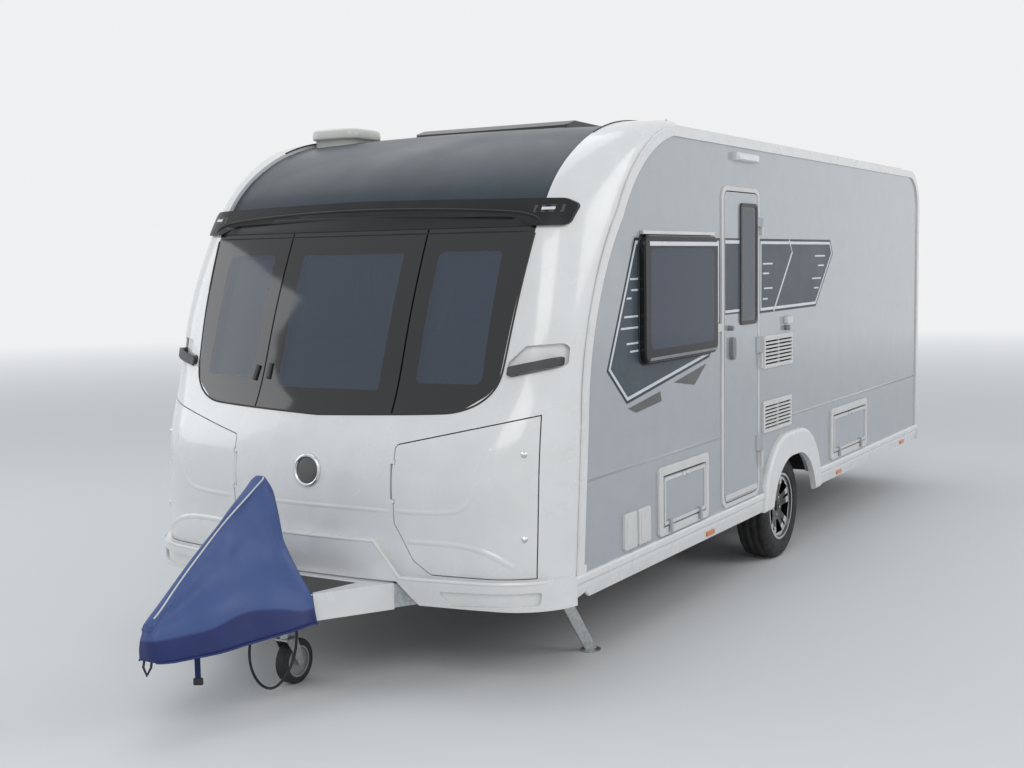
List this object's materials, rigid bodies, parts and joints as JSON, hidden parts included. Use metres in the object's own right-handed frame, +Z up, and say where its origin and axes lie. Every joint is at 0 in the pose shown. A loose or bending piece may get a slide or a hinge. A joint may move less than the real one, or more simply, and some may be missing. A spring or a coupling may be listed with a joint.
{
  "type": "single-axle touring caravan with raked front and covered hitch, parked",
  "caption": "Touring caravan parked on its wheels, jockey wheel and front steadies, with opening door, lockers and hatches, and a fitted hitch cover.",
  "frame": {"origin": "on the ground, under the middle of the whole length and width", "axes": "+Z up; -Y towards the towing coupling; +X towards the entrance door's side"},
  "size_m": [2.362, 7.3701, 2.57],
  "materials": {
    "white_moulding": "gloss",
    "silver_side": "gloss",
    "roof_blue": "gloss",
    "brow_black": "gloss",
    "glazing": "gloss",
    "rooflight": "gloss",
    "frame_plastic": "satin",
    "grey_plastic": "satin",
    "galvanised": "satin",
    "cast_black": "satin",
    "alloy": "satin",
    "tyre": "matte",
    "rubber": "matte",
    "cover_vinyl": "satin",
    "lamp_red": "gloss",
    "lamp_mixed": "gloss",
    "furniture_wood": "satin",
    "upholstery": "matte"
  },
  "bodies": {
    "root": {"front_panel": "white_moulding", "front_windows": "glazing", "front_roof_panel": "roof_blue", "brow": "brow_black", "front_bumper": "white_moulding", "side_wall_left": "silver_side", "side_wall_right": "silver_side", "side_windows": "glazing", "roof": "white_moulding", "large_rooflight": "rooflight", "small_rooflight": "frame_plastic", "rear_panel": "white_moulding", "rear_lamps": "lamp_red", "rear_bumper": "white_moulding", "edge_rails": "white_moulding", "side_skirts": "white_moulding", "wheel_arches": "white_moulding", "door_frame": "frame_plastic", "service_frames": "frame_plastic", "wall_vents": "frame_plastic", "marker_lamps": "lamp_mixed", "grab_handles": "grey_plastic", "floor": "furniture_wood", "chassis_frame": "galvanised", "axle": "galvanised", "corner_steadies": "galvanised", "coupling_head": "cast_black", "handbrake_lever": "grey_plastic", "jockey_tube": "galvanised", "drawbar_fairing": "white_moulding", "hitch_cover": "cover_vinyl", "tow_lead": "rubber", "tow_plug": "grey_plastic", "lead_holders": "grey_plastic", "furniture": "furniture_wood", "seat_cushions": "upholstery"},
    "left_wheel": {"tyre_left": "tyre", "wheel_left": "alloy"},
    "right_wheel": {"tyre_right": "tyre", "wheel_right": "alloy"},
    "door": {"entrance_door": "silver_side", "door_window": "glazing", "door_fittings": "grey_plastic"},
    "left_locker": {"locker_door_left": "white_moulding"},
    "right_locker": {"locker_door_right": "white_moulding"},
    "front_hatch": {"service_door": "silver_side"},
    "cassette_hatch": {"cassette_door": "silver_side"},
    "jockey_swivel_fork": {"jockey_fork": "galvanised"},
    "jockey_roller": {"jockey_wheel": "rubber"}
  },
  "joints": [
    {"name": "left_wheel_spin", "type": "hinge", "parent": "root", "child": "left_wheel", "pos_m": [0.98, 0.505, 0.317], "axis": [1, 0, 0], "continuous": true},
    {"name": "right_wheel_spin", "type": "hinge", "parent": "root", "child": "right_wheel", "pos_m": [-0.98, 0.505, 0.317], "axis": [1, 0, 0], "continuous": true},
    {"name": "jockey_swivel", "type": "hinge", "parent": "root", "child": "jockey_swivel_fork", "pos_m": [0.02, -2.895, 0.28], "axis": [0, 0, 1], "continuous": true},
    {"name": "jockey_roll", "type": "hinge", "parent": "jockey_swivel_fork", "child": "jockey_roller", "pos_m": [0.02, -2.835, 0.1], "axis": [1, 0, 0], "continuous": true},
    {"name": "entrance_door_hinge", "type": "hinge", "parent": "root", "child": "door", "pos_m": [1.167, -0.066, 1.35], "axis": [0, 0, 1], "range_deg": [0, 172]},
    {"name": "left_locker_hinge", "type": "hinge", "parent": "root", "child": "left_locker", "pos_m": [0.45, -2.65265, 0.9], "axis": [0, -0.0704, -0.9975], "range_deg": [0, 90]},
    {"name": "right_locker_hinge", "type": "hinge", "parent": "root", "child": "right_locker", "pos_m": [-0.45, -2.65265, 0.9], "axis": [0, 0.0704, 0.9975], "range_deg": [0, 90]},
    {"name": "front_hatch_hinge", "type": "hinge", "parent": "root", "child": "front_hatch", "pos_m": [1.167, -1.135, 0.506], "axis": [0, 1, 0], "range_deg": [0, 110]},
    {"name": "cassette_hatch_hinge", "type": "hinge", "parent": "root", "child": "cassette_hatch", "pos_m": [1.167, 1.6875, 0.511], "axis": [0, 1, 0], "range_deg": [0, 110]}
  ]
}
